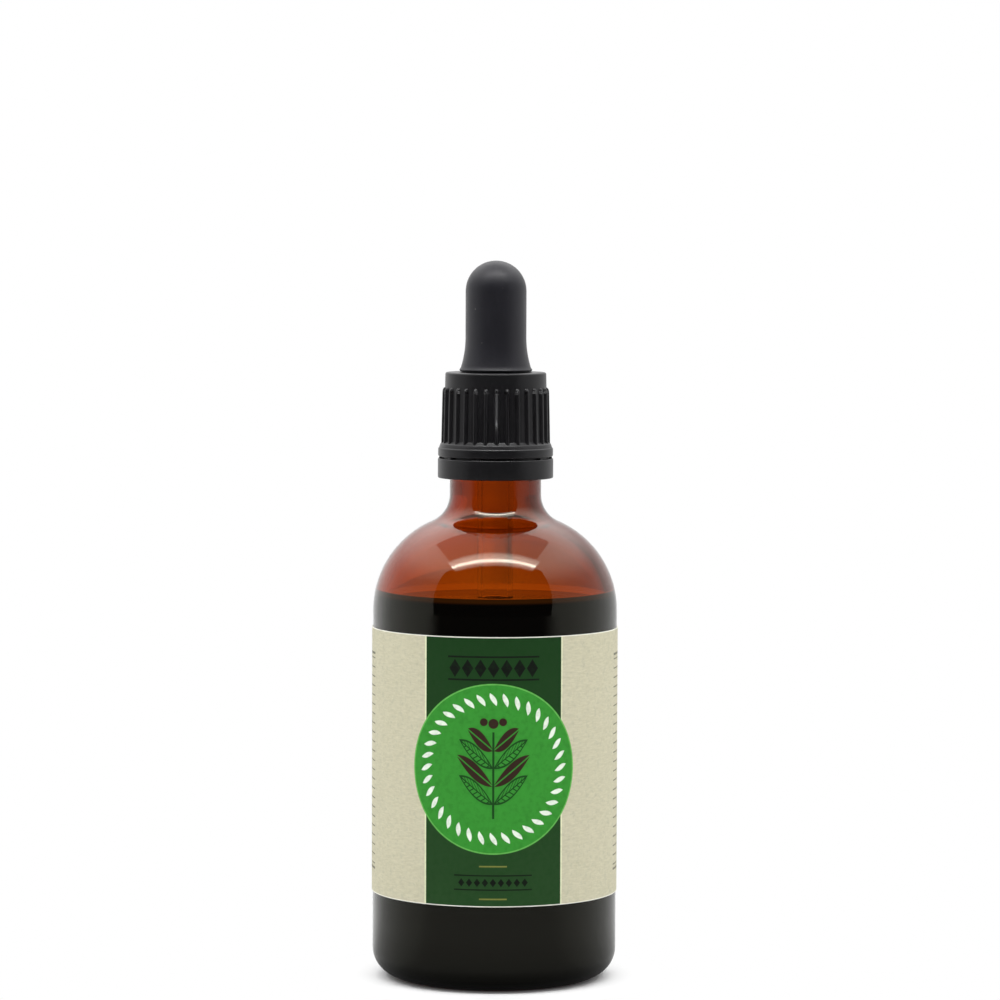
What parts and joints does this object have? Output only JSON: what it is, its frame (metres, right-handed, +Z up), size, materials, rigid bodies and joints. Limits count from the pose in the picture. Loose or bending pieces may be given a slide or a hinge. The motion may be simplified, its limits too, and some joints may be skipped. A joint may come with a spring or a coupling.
{
  "type": "dropper bottle",
  "caption": "Amber glass liqueur bottle with a wrapped paper label, closed by a ribbed screw cap that carries a rubber teat and a glass pipette.",
  "frame": {"origin": "centre of the ring that the bottle stands on, at table height", "axes": "+Z up along the bottle's axis, -Y out of the label's front, +X to the right seen from the front"},
  "size_m": [0.0474, 0.0473, 0.1381],
  "materials": {
    "amber_glass": "glossy, transparent amber",
    "dark_liquid": "clear to dark brown liquid, glossy surface",
    "label_paper": "matte cream paper with a dark green stripe and a green disc",
    "black_plastic": "satin moulded plastic",
    "black_rubber": "satin moulded rubber",
    "clear_glass": "glossy, clear and colourless"
  },
  "bodies": {
    "bottle": {"bottle": "amber_glass", "liquid": "dark_liquid", "label": "label_paper"},
    "tamper_band": {"tamper_band": "black_plastic"},
    "drawn_liquid": {"drawn_liquid": "dark_liquid"},
    "pipette": {"pipette": "clear_glass"},
    "screw_cap": {"screw_cap": "black_plastic"},
    "teat": {"teat": "black_rubber"}
  },
  "joints": [
    {"name": "band_spin", "type": "hinge", "parent": "bottle", "child": "tamper_band", "pos_m": [0, 0, 0.0983], "axis": [0, 0, 1], "continuous": true},
    {"name": "lift_off", "type": "slide", "parent": "bottle", "child": "drawn_liquid", "axis": [0, 0, 1], "range_m": [0, 0.115]},
    {"name": "thread_rise", "type": "slide", "parent": "drawn_liquid", "child": "pipette", "axis": [0, 0, 1], "range_m": [0, 0.005]},
    {"name": "cap_turn", "type": "hinge", "parent": "pipette", "child": "screw_cap", "pos_m": [0, 0, 0.1085], "axis": [0, 0, 1], "range_deg": [0, 600]},
    {"name": "bulb_press", "type": "slide", "parent": "pipette", "child": "teat", "axis": [0, 0, -1], "range_m": [0, 0.005], "stiffness_N_per_m": 1500, "deforming": ["teat"]}
  ],
  "couplings": [
    {"joint": "cap_turn", "follows": "thread_rise", "rad_per_m": 2094.4}
  ]
}
